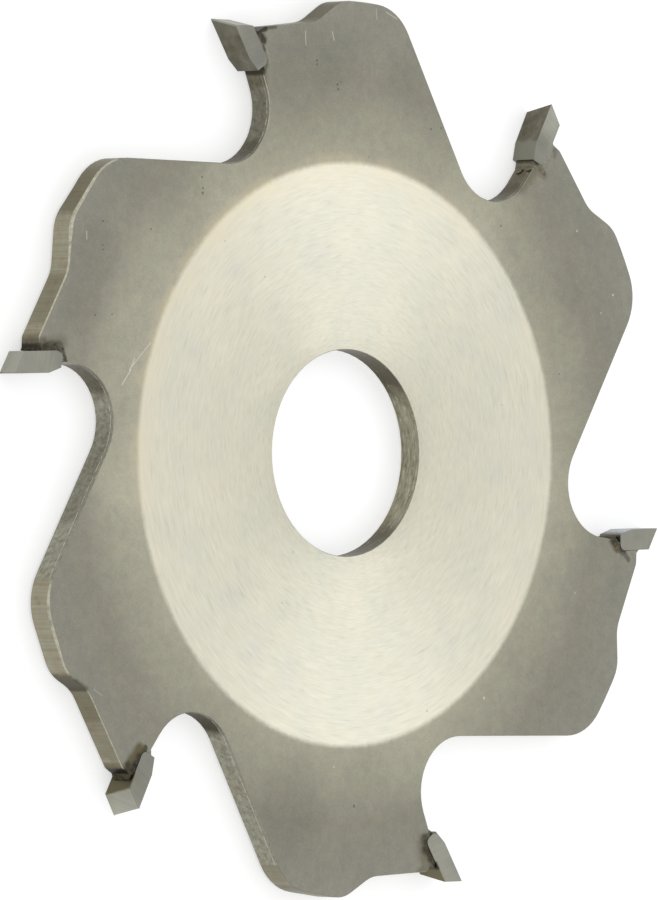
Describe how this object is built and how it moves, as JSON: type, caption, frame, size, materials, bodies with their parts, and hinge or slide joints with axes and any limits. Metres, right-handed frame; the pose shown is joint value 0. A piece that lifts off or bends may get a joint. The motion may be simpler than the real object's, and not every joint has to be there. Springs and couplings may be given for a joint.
{
  "type": "biscuit joiner blade",
  "caption": "Slotting cutter for biscuit joints: flat steel plate with a plain round bore, deep gullets, humped tooth backs and brazed carbide tips bevelled to alternate sides.",
  "frame": {"origin": "centre of the bore, halfway through the plate", "axes": "+Z along the bore axis, out of the face on which the teeth cut counter-clockwise; +Y through the crest of the first tooth; +X completes the right-handed frame"},
  "size_m": [0.0975, 0.0953, 0.0034],
  "materials": {
    "plate_steel": "matt grey, ground bright round the bore",
    "carbide": "fine ground",
    "braze": "dark, with burnt flux"
  },
  "bodies": {
    "root": {"plate": "plate_steel", "tip_1": "carbide", "tip_2": "carbide", "tip_3": "carbide", "tip_4": "carbide", "tip_5": "carbide", "tip_6": "carbide", "braze_1": "braze", "braze_2": "braze", "braze_3": "braze", "braze_4": "braze", "braze_5": "braze", "braze_6": "braze"}
  },
  "joints": []
}
